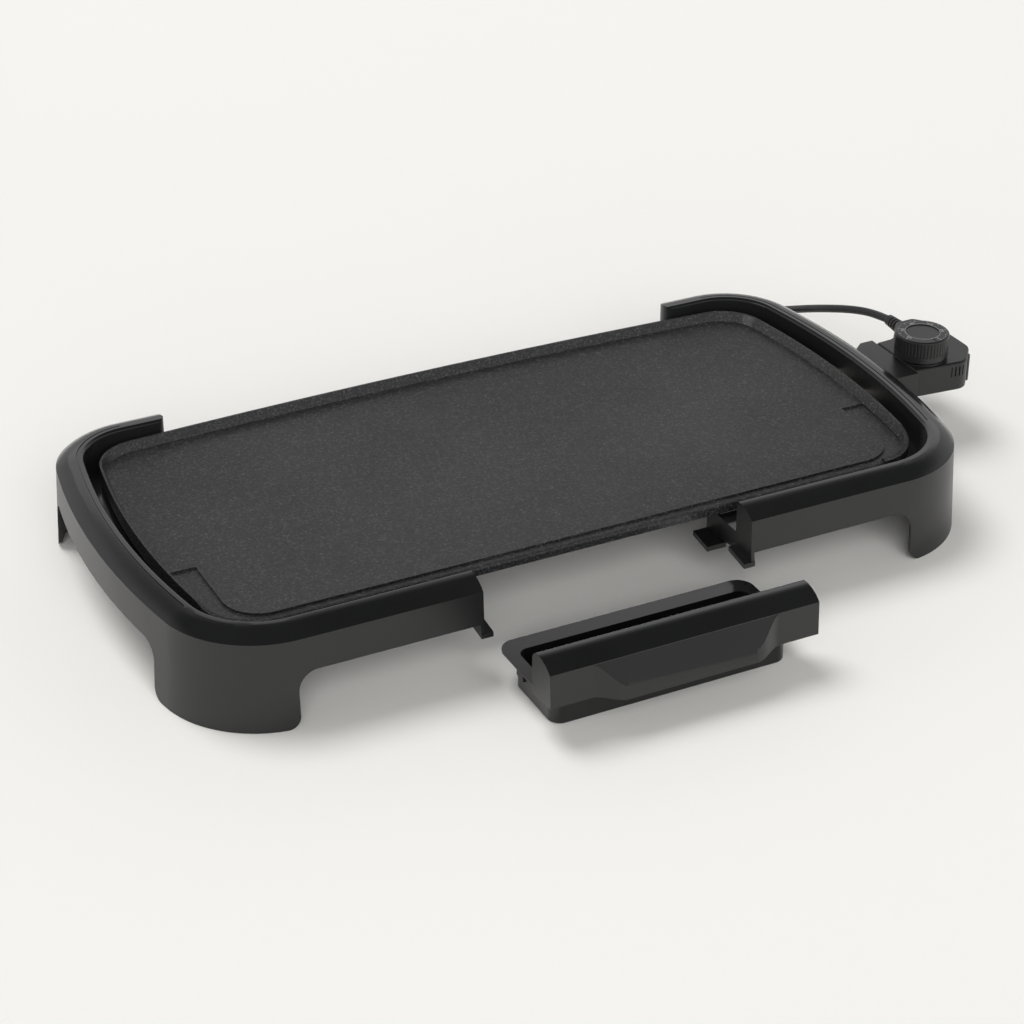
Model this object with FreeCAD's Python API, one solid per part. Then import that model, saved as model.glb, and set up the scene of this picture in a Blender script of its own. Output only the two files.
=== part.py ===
"""Electric griddle: cast plate, two plastic end shells, lift-out drip tray, plug-in heat control."""
import FreeCAD
import Part
import math
import os

os.makedirs("parts", exist_ok=True)
V = FreeCAD.Vector
UP = V(0, 0, 1)

# Millimetres. X runs along the griddle from its middle, Y goes back from the front edge of the
# shells, and Z is up from the table. The finished pieces are moved along the table so that the
# origin is under the middle of the whole object, without its free cord.

# --- end shells -------------------------------------------------------------------------------
half_length = 310.0      # middle of the bowed end, at the crease
depth = 327.0            # front crease to back crease
side_radius = 595.0      # bow of the ends
side_peak_y = depth / 2 + 5.0      # where the bow is widest
front_radius = 71.0      # plan radius of the front corners
back_radius = 60.0
crease_z = 64.6          # edge between the upright skirt and the rounded top
crest_z = 71.0
skirt_z = 40.5           # lower edge of the skirt between the legs
skirt_flare = 3.5        # how far the feet stand out beyond the crease
shell_wall = 2.6
band_width = 20.0        # skirt to inner wall
inner_wall_z = 47.0      # top of the support ledge, where the inner wall ends
ledge_width = 25.0       # support ledge under the plate
ledge_thick = 2.6
groove_inset = 14.5      # fine groove along the top of the ends
groove_width = 0.9
groove_depth = 0.6
gap_half = 101.5         # half of the opening between the shells at the front
back_tip_x = half_length - 102.0   # tip of the back arms
tip_length = 16.0        # solid end of a back arm
tip_round = 13.0         # its plan radii, outside and inside
tip_nose = 6.0
leg_x = half_length - 77.0         # inner edge of the legs, front and back
leg_front_y = 72.0       # end of the front leg along the side
leg_back_y = depth - 44.0          # start of the back leg along the side
leg_root_radius = 14.0
leg_toe_radius = 9.0

# --- plate ------------------------------------------------------------------------------------
rim_inset = 31.0         # crease to the outside of the rim at the ends
plate_half = half_length - rim_inset
plate_front_y = 42.0
plate_back_y = depth - 20.0        # middle of the bowed back edge
plate_back_radius = 4400.0
plate_side_radius = 640.0
plate_front_corner = 31.0
plate_back_corner = 35.0
cook_z = 57.2            # cooking surface
slab_thick = 5.0
rim_height = 6.8
rim_top = 1.6
rim_run = 3.0            # slope of the rim's inner face
lip_bottom_z = 49.5      # lower edge of the front lip
lip_width = 3.0
cook_front_y = 49.5      # front edge of the raised cooking area
cook_half = plate_half - 25.0
open_half = plate_half - 41.0       # half of the front edge that has no rim
lip_half = plate_half - 39.0
cook_corner = 27.0
channel_start_y = 125.0  # where the grease channels begin
channel_drop = 1.5
post_radius = 7.0        # cast posts that take the shell screws
screw_hole = 1.6
post_gap = 0.1           # under the posts, before the screws pull them down
lug_radius = 8.5         # lugs on the support ledge, under the posts

# --- heating element and its terminals --------------------------------------------------------
element_radius = 3.5
element_z = 47.5
element_bend = 34.0
element_back_y = plate_back_y - 57.0
element_start_x = half_length - 38.0   # end of the sheath, where a terminal begins
element_right_x = half_length - 64.0
element_left_x = 75.0 - plate_half
element_front_y = 90.0
rib_half = 6.5           # cast rib that the element is pressed into
rib_bottom_z = 45.6
strap_thick = 1.2
strap_width = 10.0
strap_count = 4
strap_start = 54.0       # from the left bend to the middle of the first strap
strap_end = 33.0         # from the middle of the last strap to the right bend
socket_y = depth / 2 + 4.5           # middle of the plug-in socket
pin_spacing = 38.0
pin_radius = 2.5
pin_tip_x = half_length + 11.0
bush_radius = 4.2
bush_length = 13.0
receptacle_radius = 3.5
receptacle_length = 14.0
seat_gap = 0.04          # running fit between round pieces

# --- socket shroud ----------------------------------------------------------------------------
shroud_x0 = half_length - 8.0
shroud_x1 = half_length + 19.5
shroud_y0 = socket_y - pin_spacing / 2 - 12.0
shroud_y1 = socket_y + pin_spacing / 2 + 13.0
shroud_z0 = 40.0
shroud_z1 = 63.8
shroud_wall = 2.2

# --- heat control -----------------------------------------------------------------------------
control_gap = 0.4        # between the control and the shroud's end
control_z0 = 41.2
control_split_z = 50.0
control_z1 = 64.0
control_wall = 2.2
nose_length = 14.0       # how far the control goes into the shroud
probe_radius = 3.0
probe_tip_x = half_length - 52.0
probe_end_x = half_length + 35.0
boss_half = 7.0          # cast boss that the probe goes into
knob_x = half_length + 38.0
knob_y = socket_y - 6.5
knob_radius = 20.5
knob_base_z = 66.4
knob_top_z = 84.0
collar_height = 1.2
lens_place = (half_length + 72.0, socket_y + 8.0)
lens_radius = 2.0
block_x0 = half_length + 31.0      # thermostat block
block_x1 = half_length + 52.0
block_top_z = 58.3
shaft_radius = 3.0

# --- drip tray --------------------------------------------------------------------------------
tray_out = 90.5          # how far in front of its seat the tray lies
tray_drop = 13.0         # how far below its seat the table is
tray_half = 88.0         # outside of the tub
tray_y0 = 16.0           # tub front, seated
tray_y1 = 74.5           # tub back, seated
tray_depth = 25.0
tray_wall = 1.8
tray_corner = 9.0
flange_half = 95.0
flange_y1 = 86.5         # back edge of the flange, seated
flange_thick = 1.7
fascia_half = gap_half - 2.2
fascia_back_y = 24.5     # back of the tray front, seated
fascia_wall = 2.2
pull_half = 47.0         # flat stretch of the finger pull
pull_blend = 24.0        # length of each curve beside it
pull_out = 9.0
pull_drop = 16.2         # how far its crease lies below the front's crease
pull_low_z = 38.2        # lower edge of the pull, seated
pull_wall = 2.4
rail_gap = 0.35
rail_thick = 3.6
rail_y0 = 36.0
rail_y1 = 56.0
foot_y0 = 47.0
rail_reach = 12.6
stop_y0 = -2.6
stop_y1 = 19.0

# --- cord -------------------------------------------------------------------------------------
cord_radius = 3.2
coil_centre = (300.0, 371.5)
coil_mid_radius = 32.5
relief_x = half_length + 63.0
relief_z = 54.0
relief_y0 = socket_y + 44.0          # inside the control
relief_y1 = socket_y + 73.0          # tip
neck_radius = 4.9
CORD_ROUTE = [
    (373.0, 241.0, 54.0),
    (371.8, 260.0, 52.0),
    (366.0, 284.0, 46.5),
    (359.0, 309.0, 38.0),
    (354.5, 334.0, 28.0),
    (353.0, 358.0, 17.0),
    (350.0, 379.0, 8.0),
    (338.0, 398.0, 3.6),
    (318.0, 407.0, 3.2),
    (301.0, 407.2, 3.2),
]
TAIL_ROUTE = [
    (283.8, 403.3, 9.6),
    (265.5, 393.0, 7.2),
    (247.0, 381.5, 5.2),
    (229.5, 372.2, 7.4),
    (212.0, 367.5, 8.5),
]
plug_length = 30.0
plug_half_width = 11.5
plug_half_height = 8.2
boot_length = 12.0
blade_length = 17.0
blade_thick = 1.5
blade_height = 6.4
blade_spacing = 12.7
tie_width = 7.0
tie_wall = 0.8


def box(x0, x1, y0, y1, z0, z1):
    return Part.makeBox(x1 - x0, y1 - y0, z1 - z0, V(x0, y0, z0))


def rod(start, direction, radius, length):
    return Part.makeCylinder(radius, length, V(*start), V(*direction))


def face_from(edges):
    return Part.Face(Part.Wire(edges))


def prism(points, direction):
    """A straight prism on a closed outline of points."""
    return Part.Face(Part.makePolygon(points + points[:1])).extrude(direction)


def fuse(first, *others):
    return first.multiFuse(list(others)).removeSplitter()


def mirrored(shape):
    return shape.mirror(V(0, 0, 0), V(1, 0, 0))


def save_all(pieces, free):
    """Write each piece, with the origin under the middle of all but the free ones."""
    held = Part.makeCompound([shape for node, shape in pieces.items() if node not in free])
    whole = held.optimalBoundingBox()
    middle = V(whole.Center.x, whole.Center.y, 0)
    print("origin at", round(middle.x, 3), round(middle.y, 3), "lowest", round(whole.ZMin, 4))
    for node, shape in pieces.items():
        moved = shape.copy()
        moved.translate(-middle)
        moved.exportStep("parts/" + node + ".step")
        print(node, "solids", len(moved.Solids), "cm3", round(moved.Volume / 1000, 2),
              "" if moved.isValid() else "INVALID")


# --- plan outlines ----------------------------------------------------------------------------

def arc_between(centre, radius, start, end):
    """Plan arc from angle start to angle end, in radians."""
    middle = (start + end) / 2
    points = [V(centre[0] + radius * math.cos(a), centre[1] + radius * math.sin(a), 0)
              for a in (start, middle, end)]
    return Part.Arc(*points).toShape()


def end_curves(half, side_r, peak_y, front_y, front_r, back_y, back_r):
    """Centres, radii and angles of the three arcs round one end."""
    side = (half - side_r, peak_y)
    front_c_y = front_y + front_r
    front = (side[0] + math.sqrt((side_r - front_r) ** 2 - (front_c_y - peak_y) ** 2), front_c_y)
    back_c_y = back_y - back_r
    back = (side[0] + math.sqrt((side_r - back_r) ** 2 - (back_c_y - peak_y) ** 2), back_c_y)
    turn_1 = math.atan2(front[1] - peak_y, front[0] - side[0])
    turn_2 = math.atan2(back[1] - peak_y, back[0] - side[0])
    return [(front, front_r, -math.pi / 2, turn_1), (side, side_r, turn_1, turn_2),
            (back, back_r, turn_2, math.pi / 2)]


def plate_outline(inset):
    """Closed plan outline of the plate, moved in by inset on all sides."""
    back_mid = plate_back_y - inset
    bow = plate_back_radius - inset
    bow_centre_y = back_mid - bow
    corner = plate_back_corner - inset
    side_r = plate_side_radius - inset
    side = (plate_half - inset - side_r, side_peak_y - 3)
    front_r = plate_front_corner - inset
    front_c_y = plate_front_y + inset + front_r
    front_x = side[0] + math.sqrt((side_r - front_r) ** 2 - (front_c_y - side[1]) ** 2)
    # The back corner touches both the bowed end and the bowed back edge.
    gap_x = side[0]
    gap_y = side[1] - bow_centre_y
    reach = math.hypot(gap_x, gap_y)
    near = side_r - corner
    far = bow - corner
    along = (far ** 2 - near ** 2 + reach ** 2) / (2 * reach)
    off = math.sqrt(far ** 2 - along ** 2)
    ux = gap_x / reach
    uy = gap_y / reach
    back = (ux * along + uy * off, bow_centre_y + uy * along - ux * off)
    turn_1 = math.atan2(front_c_y - side[1], front_x - side[0])
    turn_2 = math.atan2(back[1] - side[1], back[0] - side[0])
    turn_3 = math.atan2(back[1] - bow_centre_y, back[0])
    right = [arc_between((front_x, front_c_y), front_r, -math.pi / 2, turn_1),
             arc_between(side, side_r, turn_1, turn_2),
             arc_between(back, corner, turn_2, turn_3)]
    left = [mirrored(edge) for edge in right]
    front = Part.makeLine(V(-front_x, front_c_y - front_r, 0), V(front_x, front_c_y - front_r, 0))
    rear = arc_between((0, bow_centre_y), bow, turn_3, math.pi - turn_3)
    edges = Part.sortEdges([front, rear] + right + left)[0]
    return Part.Wire(edges)


def rounded_rect(x0, x1, y0, y1, radius):
    """Plan outline of a rectangle with round corners."""
    edges = [Part.makeLine(V(x0 + radius, y0, 0), V(x1 - radius, y0, 0)),
             arc_between((x1 - radius, y0 + radius), radius, -math.pi / 2, 0),
             Part.makeLine(V(x1, y0 + radius, 0), V(x1, y1 - radius, 0)),
             arc_between((x1 - radius, y1 - radius), radius, 0, math.pi / 2),
             Part.makeLine(V(x1 - radius, y1, 0), V(x0 + radius, y1, 0)),
             arc_between((x0 + radius, y1 - radius), radius, math.pi / 2, math.pi),
             Part.makeLine(V(x0, y1 - radius, 0), V(x0, y0 + radius, 0)),
             arc_between((x0 + radius, y0 + radius), radius, math.pi, 1.5 * math.pi)]
    return Part.Wire(edges)


def slab(wire, z0, z1):
    body = Part.Face(wire).extrude(V(0, 0, z1 - z0))
    body.translate(V(0, 0, z0))
    return body


# --- end shells -------------------------------------------------------------------------------

def shell_section(solid):
    """Section across a shell's wall: Y is the distance in from the crease."""
    wall = shell_wall

    def p(n, z):
        return V(0, n, z)

    outer = [Part.makeLine(p(-skirt_flare, 0), p(0, crease_z)),
             Part.Arc(p(0, crease_z), p(6.3, crest_z - 2.1), p(15.0, crest_z)).toShape(),
             Part.makeLine(p(15.0, crest_z), p(band_width - 2.4, crest_z)),
             Part.Arc(p(band_width - 2.4, crest_z), p(band_width - 0.7, crest_z - 0.7),
                      p(band_width, crest_z - 2.4)).toShape()]
    if solid:
        outer += [Part.makeLine(p(band_width, crest_z - 2.4), p(band_width, skirt_z)),
                  Part.makeLine(p(band_width, skirt_z), p(-skirt_flare, skirt_z)),
                  ]
        flare_at = -skirt_flare * (1 - skirt_z / crease_z)
        outer[0] = Part.makeLine(p(flare_at, skirt_z), p(0, crease_z))
        outer[-1] = Part.makeLine(p(band_width, skirt_z), p(flare_at, skirt_z))
        return face_from(outer)
    inner_n = band_width - wall
    low_z = inner_wall_z - ledge_thick
    inner = [Part.makeLine(p(band_width, crest_z - 2.4), p(band_width, inner_wall_z)),
             Part.makeLine(p(band_width, inner_wall_z), p(band_width + ledge_width, inner_wall_z)),
             Part.makeLine(p(band_width + ledge_width, inner_wall_z), p(band_width + ledge_width, low_z)),
             Part.makeLine(p(band_width + ledge_width, low_z), p(inner_n, low_z)),
             Part.makeLine(p(inner_n, low_z), p(inner_n, crest_z - wall)),
             Part.makeLine(p(inner_n, crest_z - wall), p(14.6, crest_z - wall)),
             Part.Arc(p(14.6, crest_z - wall), p(7.4, crest_z - 2.1 - wall),
                      p(wall, crease_z - 1.6)).toShape(),
             Part.makeLine(p(wall, crease_z - 1.6), p(wall - skirt_flare, 0)),
             Part.makeLine(p(wall - skirt_flare, 0), p(-skirt_flare, 0))]
    return face_from(outer + inner)


def swept_round(section, spans):
    """Carry a section round the end: straight at the front, three arcs, straight at the back."""
    curves = end_curves(half_length, side_radius, side_peak_y, 0, front_radius, depth, back_radius)
    front_centre = curves[0][0]
    back_centre = curves[2][0]
    pieces = []
    if "front" in spans:
        start = section.copy()
        start.translate(V(gap_half, 0, 0))
        pieces.append(start.extrude(V(front_centre[0] - gap_half, 0, 0)))
    for name, (centre, radius, turn_0, turn_1) in zip(("corner", "side", "back corner"), curves):
        if name in spans:
            start = section.copy()
            start.rotate(V(0, 0, 0), UP, math.degrees(turn_0) + 90)
            start.translate(V(centre[0] + radius * math.cos(turn_0), centre[1] + radius * math.sin(turn_0), 0))
            pieces.append(start.revolve(V(centre[0], centre[1], 0), UP, math.degrees(turn_1 - turn_0)))
    if "back" in spans:
        start = section.copy()
        start.rotate(V(0, 0, 0), UP, 180)
        start.translate(V(back_centre[0], depth, 0))
        pieces.append(start.extrude(V(back_tip_x - back_centre[0], 0, 0)))
    return pieces


def leg_opening(a0, a1, root_0, root_1, toe_0, toe_1):
    """Upright outline of an opening under the skirt between a0 and a1, in the X-Z plane."""
    def at(a, z):
        return V(a, 0, z)

    top = skirt_z
    edges = [Part.makeLine(at(a0 + root_0, top), at(a1 - root_1, top))]
    for a, root, toe, sign in ((a1, root_1, toe_1, 1), (a0, root_0, toe_0, -1)):
        k = math.sqrt(0.5)
        edges.append(Part.Arc(at(a - sign * root, top), at(a - sign * root * (1 - k), top - root * (1 - k)),
                              at(a, top - root)).toShape())
        edges.append(Part.makeLine(at(a, top - root), at(a, toe)))
        if toe > 0:
            edges.append(Part.Arc(at(a, toe), at(a + sign * toe * (1 - k), toe * (1 - k)),
                                  at(a + sign * toe, 0)).toShape())
    edges.append(Part.makeLine(at(a0 - toe_0, 0), at(a0 - toe_0, -1)))
    edges.append(Part.makeLine(at(a0 - toe_0, -1), at(a1 + toe_1, -1)))
    edges.append(Part.makeLine(at(a1 + toe_1, -1), at(a1 + toe_1, 0)))
    return Part.Face(Part.Wire(Part.sortEdges(edges)[0]))


def make_right_shell():
    spans = ("front", "corner", "side", "back corner", "back")
    shell = fuse(*swept_round(shell_section(False), spans))
    curves = end_curves(half_length, side_radius, side_peak_y, 0, front_radius, depth, back_radius)

    # Openings between the legs: front, side and back.
    front_cut = leg_opening(gap_half - 1, leg_x, 0.01, leg_root_radius, 0, leg_toe_radius)
    front_cut.translate(V(0, -10, 0))
    side_cut = leg_opening(leg_front_y, leg_back_y, leg_root_radius, leg_root_radius,
                           leg_toe_radius, leg_toe_radius)
    side_cut.rotate(V(0, 0, 0), UP, 90)
    side_cut.translate(V(half_length - 40, 0, 0))
    back_cut = leg_opening(back_tip_x - 30, leg_x, 0.01, leg_root_radius, 0, leg_toe_radius)
    back_cut.translate(V(0, depth - 12, 0))
    shell = shell.cut(front_cut.extrude(V(0, 25, 0)))
    shell = shell.cut(side_cut.extrude(V(60, 0, 0)))
    shell = shell.cut(back_cut.extrude(V(0, 25, 0)))

    # The back arm ends in a closed tip with a round outer corner.
    tip = shell_section(True)
    tip.rotate(V(0, 0, 0), UP, 180)
    tip.translate(V(back_tip_x + tip_length, depth, 0))
    tip = tip.extrude(V(-tip_length, 0, 0))
    tip = fuse(tip, box(back_tip_x, back_tip_x + tip_length, depth - band_width, depth - band_width + 3,
                        inner_wall_z - ledge_thick, crest_z - 3))
    shell = fuse(shell, tip)
    corner = box(back_tip_x - 1, back_tip_x + tip_round, depth - tip_round, depth + 2, skirt_z - 5, crest_z + 1)
    corner = corner.cut(rod((back_tip_x + tip_round, depth - tip_round, 0), (0, 0, 1), tip_round, 100))
    inner_y = depth - band_width
    inner = box(back_tip_x - 1, back_tip_x + tip_nose, inner_y - 1, inner_y + tip_nose,
                inner_wall_z - 5, crest_z + 1)
    inner = inner.cut(rod((back_tip_x + tip_nose, inner_y + tip_nose, 0), (0, 0, 1), tip_nose, 100))
    shell = shell.cut(corner).cut(inner)
    shell = shell.cut(box(back_tip_x - 2, back_tip_x + tip_length + 2, inner_y - ledge_width - 1, inner_y,
                          skirt_z, inner_wall_z + 1))

    # The front end is closed by a wall that carries the tray's stop and rail.
    end_face = shell_section(True)
    end_face.translate(V(gap_half, 0, 0))
    end_wall = end_face.extrude(V(shell_wall, 0, 0))
    lower = prism([V(gap_half, stop_y0, stop_z(stop_y0) - rail_thick), V(gap_half, stop_y1, 33.0),
                   V(gap_half, rail_y1 + 3, 28.0),
                   V(gap_half, rail_y1 + 3, inner_wall_z), V(gap_half, 2, inner_wall_z),
                   V(gap_half, -1.0, skirt_z)], V(shell_wall, 0, 0))
    shell = fuse(shell, end_wall, lower, rail_stop(), rail())

    # A fine groove follows the top of the end and of the back arm.
    section = Part.Face(Part.makePolygon([V(0, groove_inset, crest_z - groove_depth),
                                          V(0, groove_inset + groove_width, crest_z - groove_depth),
                                          V(0, groove_inset + groove_width, crest_z + 2),
                                          V(0, groove_inset, crest_z + 2),
                                          V(0, groove_inset, crest_z - groove_depth)]))
    groove = fuse(*swept_round(section, ("side", "back corner")))
    shell = shell.cut(groove)

    # Lugs and holes for the screws that hold the plate, on the support ledge.
    for x, y in shell_posts():
        shell = fuse(shell, rod((x, y, inner_wall_z - ledge_thick), (0, 0, 1), lug_radius, ledge_thick))
        shell = shell.cut(rod((x, y, inner_wall_z - 6), (0, 0, 1), screw_hole + 0.4, 12))
    return shell


def slope():
    """Rise of the tray's path for each millimetre it goes in."""
    return tray_drop / tray_out


def foot_z(y):
    """Underside of the seated tray's feet, and of the space its flange sweeps, at y."""
    seat = tray_depth + tray_drop - flange_thick
    return seat - 0.3 - (flange_y1 - 3 - y) * slope()


def stop_z(y):
    """Top of the front ledges: just under the path of the tray front's ends."""
    return tray_depth + tray_drop - rail_gap - (fascia_back_y - y) * slope()


def rail_stop():
    """Small ledge at the front, under the end of the tray front."""
    x0 = flange_half + 0.5
    outline = [V(x0, y, stop_z(y) - drop)
               for y, drop in ((stop_y0, rail_thick), (stop_y1, rail_thick), (stop_y1, 0), (stop_y0, 0))]
    return prism(outline, V(gap_half + shell_wall - x0, 0, 0))


def rail():
    """Sloping rail that carries the tray's foot under the plate."""
    x0 = gap_half - rail_reach
    outline = [V(x0, y, foot_z(y) - rail_gap - drop)
               for y, drop in ((rail_y0, rail_thick), (rail_y1, rail_thick), (rail_y1, 0), (rail_y0, 0))]
    return prism(outline, V(rail_reach + shell_wall, 0, 0))


def shell_posts():
    """Where the plate's posts stand on the right shell's ledge."""
    reach = band_width + ledge_width
    return [(gap_half + 48.5, plate_front_y + 9.0), (half_length - reach - 2, 90.0),
            (half_length - reach - 2, depth - 81.0), (leg_x + 3, depth - reach + 6)]


def cut_socket_window(shell):
    """Openings in the right shell for the terminals and the probe."""
    window = box(half_length - 60, half_length + 20, shroud_y0 + 4, shroud_y1 - 6,
                 element_z - 5.5, element_z + bush_radius + 1.2)
    return shell.cut(window)


# --- plate ------------------------------------------------------------------------------------

def pin_places():
    """The two terminals' distances from the front."""
    return socket_y - pin_spacing / 2, socket_y + pin_spacing / 2


def u_tube(radius, z):
    """The element: from one terminal, round the plate and back to the other."""
    y_in, y_out = pin_places()
    bend = element_bend
    right = element_right_x
    left = element_left_x
    start = element_start_x
    s_bend = (y_in - element_front_y) / 2
    edges = []

    def line(a, b):
        edges.append(Part.makeLine(V(a[0], a[1], z), V(b[0], b[1], z)))

    def arc(centre, r, a0, a1):
        mid = (a0 + a1) / 2
        pts = [V(centre[0] + r * math.cos(t), centre[1] + r * math.sin(t), z) for t in (a0, mid, a1)]
        edges.append(Part.Arc(*pts).toShape())

    quarter = math.pi / 2
    # Front run: in from the terminal, an S down to the front, then along to the left end.
    line((start, y_in), (right, y_in))
    arc((right, y_in - s_bend), s_bend, quarter, 2 * quarter)
    arc((right - 2 * s_bend, y_in - s_bend), s_bend, 0, -quarter)
    line((right - 2 * s_bend, element_front_y), (left, element_front_y))
    arc((left, element_front_y + bend), bend, -quarter, -2 * quarter)
    line((left - bend, element_front_y + bend), (left - bend, element_back_y - bend))
    arc((left, element_back_y - bend), bend, 2 * quarter, quarter)
    t_bend = (element_back_y - y_out) / 2
    line((left, element_back_y), (right - 2 * t_bend, element_back_y))
    arc((right - 2 * t_bend, element_back_y - t_bend), t_bend, quarter, 0)
    arc((right, y_out + t_bend), t_bend, 2 * quarter, 3 * quarter)
    line((right, y_out), (start, y_out))
    spine = Part.Wire(edges)
    circle = Part.Wire(Part.makeCircle(radius, V(start, y_in, z), V(-1, 0, 0)))
    return spine, spine.makePipeShell([circle], True, True)


def rib_along(spine, half, z0, z1):
    """Upright rib of rectangular section along a level route."""
    start = spine.Edges[0].Vertexes[0].Point
    corners = [V(start.x, start.y - half, z0), V(start.x, start.y + half, z0),
               V(start.x, start.y + half, z1), V(start.x, start.y - half, z1)]
    return spine.makePipeShell([Part.makePolygon(corners + corners[:1])], True, True)


def make_plate():
    slab_z = cook_z - slab_thick
    rim_z = cook_z + rim_height
    body = slab(plate_outline(0), slab_z, rim_z)
    inner_top = plate_outline(rim_top)
    inner_foot = plate_outline(rim_top + rim_run)
    inner_top.translate(V(0, 0, rim_z + 0.01))
    inner_foot.translate(V(0, 0, cook_z))
    body = body.cut(Part.makeLoft([inner_foot, inner_top], True, True))

    # There is no rim along the front, and the rim runs down to nothing at the front corners.
    body = body.cut(box(-open_half, open_half, 0, plate_front_y + 20, cook_z, rim_z + 5))
    wide = half_length
    ramp = [V(-wide, 0, cook_z), V(-wide, plate_front_y + 2, cook_z + 0.4),
            V(-wide, plate_front_y + 36, rim_z + 0.5), V(-wide, plate_front_y + 36, rim_z + 5),
            V(-wide, 0, rim_z + 5)]
    body = body.cut(prism(ramp, V(2 * wide, 0, 0)))

    # Grease channels at the front corners, and the front land in front of the cooking area.
    side = cook_half
    raised = rounded_rect(-side, side, cook_front_y, plate_back_y - 40, cook_corner)
    channel = slab(plate_outline(rim_top + rim_run + 0.5), cook_z - channel_drop, cook_z + 1)
    channel = fuse(channel, box(-open_half, open_half, 30, 60, cook_z - channel_drop, cook_z + 1))
    channel = channel.common(box(-wide, wide, 0, channel_start_y, 0, 100))
    channel = channel.cut(slab(raised, 0, 100))
    body = body.cut(channel)

    # Rounded front lip that hangs down to send the grease into the tray.
    lip_top = cook_z - channel_drop
    half = lip_half
    lip = prism([V(-half, plate_front_y, lip_bottom_z), V(-half, plate_front_y + lip_width, lip_bottom_z),
                 V(-half, plate_front_y + lip_width, lip_top - 1), V(-half, plate_front_y, lip_top - 1)],
                V(2 * half, 0, 0))
    body = fuse(body, lip)
    nose = [V(-wide, plate_front_y - 1, lip_top + 0.6), V(-wide, plate_front_y + 2.4, lip_top + 0.6),
            V(-wide, plate_front_y + 2.4, lip_top), V(-wide, plate_front_y + 0.7, lip_top - 0.7),
            V(-wide, plate_front_y, lip_top - 2.2), V(-wide, plate_front_y - 1, lip_top - 2.2)]
    body = body.cut(prism(nose, V(2 * wide, 0, 0)))

    # Cast rib for the element, a boss for the probe, and posts for the shells' screws.
    spine, groove = u_tube(element_radius + seat_gap, element_z)
    body = fuse(body, rib_along(spine, rib_half, rib_bottom_z, slab_z + 0.5))
    boss_x1 = plate_half - 4
    boss = box(probe_tip_x - 10, boss_x1, socket_y - boss_half, socket_y + boss_half,
               element_z - boss_half + 1, slab_z + 0.5)
    posts = []
    for x, y in shell_posts():
        for sign in (-1, 1):
            foot = inner_wall_z + post_gap
            posts.append(rod((sign * x, y, foot), (0, 0, 1), post_radius, slab_z + 0.5 - foot))
    body = fuse(body, boss, *posts)
    y_in, y_out = pin_places()
    body = body.cut(groove)
    for y in (y_in, y_out):
        body = body.cut(box(element_start_x - 4, half_length, y - 4.4, y + 4.4, rib_bottom_z - 1, element_z))
    body = body.cut(rod((boss_x1 + 1, socket_y, element_z), (-1, 0, 0), probe_radius + 0.3,
                        boss_x1 + 3 - probe_tip_x))
    for x, y in shell_posts():
        for sign in (-1, 1):
            body = body.cut(rod((sign * x, y, inner_wall_z - 1), (0, 0, 1), screw_hole, 7.0))
    return body


def make_terminal(y):
    """Steel terminal pin with a round nose."""
    start = element_start_x
    pin = rod((start, y, element_z), (1, 0, 0), pin_radius, pin_tip_x - start)
    nose = [e for e in pin.Edges if abs(e.CenterOfMass.x - pin_tip_x) < 0.01]
    return pin.makeChamfer(1.0, nose)


def make_insulator(y):
    """Ceramic bush round the pin, between the element's end and the shell."""
    start = element_start_x + 4
    bush = rod((start, y, element_z), (1, 0, 0), bush_radius, bush_length)
    collar = rod((start + bush_length - 3, y, element_z), (1, 0, 0), bush_radius + 1, 3)
    return fuse(bush, collar).cut(rod((start - 1, y, element_z), (1, 0, 0), pin_radius + seat_gap, 40))


def make_clamps():
    """Steel straps that hold the element in its rib."""
    straps = []
    outside = rib_half + strap_thick
    tube = element_z - element_radius
    high = rib_bottom_z + 2.5
    first = element_left_x + strap_start
    last = element_right_x - (element_back_y - pin_places()[1]) - strap_end
    for i in range(strap_count):
        x = first + (last - first) * i / (strap_count - 1) - strap_width / 2
        for y in (element_front_y, element_back_y):
            outline = [V(x, y - outside, high), V(x, y - outside, tube - strap_thick),
                       V(x, y + outside, tube - strap_thick), V(x, y + outside, high),
                       V(x, y + rib_half, high), V(x, y + rib_half, tube),
                       V(x, y - rib_half, tube), V(x, y - rib_half, high)]
            straps.append(prism(outline, V(strap_width, 0, 0)))
    return Part.makeCompound(straps)


def make_screws():
    """The eight screws that hold the shells to the plate."""
    screws = []
    for x, y in shell_posts():
        for sign in (-1, 1):
            low = inner_wall_z - ledge_thick
            head = rod((sign * x, y, low - 2.4), (0, 0, 1), 3.4, 2.3)
            shank = rod((sign * x, y, low - 0.2), (0, 0, 1), screw_hole - 0.05, 8.2)
            slot = box(sign * x - 2.2, sign * x + 2.2, y - 0.45, y + 0.45, low - 3, low - 1.3)
            cross = box(sign * x - 0.45, sign * x + 0.45, y - 2.2, y + 2.2, low - 3, low - 1.3)
            screws.append(fuse(head, shank).cut(slot).cut(cross))
    return Part.makeCompound(screws)


# --- socket shroud ----------------------------------------------------------------------------

def make_shroud():
    """Guard round the terminals, open at its outer end."""
    outer = box(shroud_x0, shroud_x1, shroud_y0, shroud_y1, shroud_z0, shroud_z1)
    chamfer = prism([V(shroud_x0 + 6, shroud_y1 + 1, 0), V(shroud_x0 + 18, shroud_y1 + 1, 0),
                     V(shroud_x0 + 6, shroud_y1 - 9, 0)], V(0, 0, 100))
    body = outer.cut(chamfer)
    body = body.cut(shell_core())
    wall = shroud_wall
    cavity = box(shroud_x0 + 6, shroud_x1 + 1, shroud_y0 + wall, shroud_y1 - wall - 3,
                 shroud_z0 + wall, shroud_z1 - wall)
    return body.cut(cavity)


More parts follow.
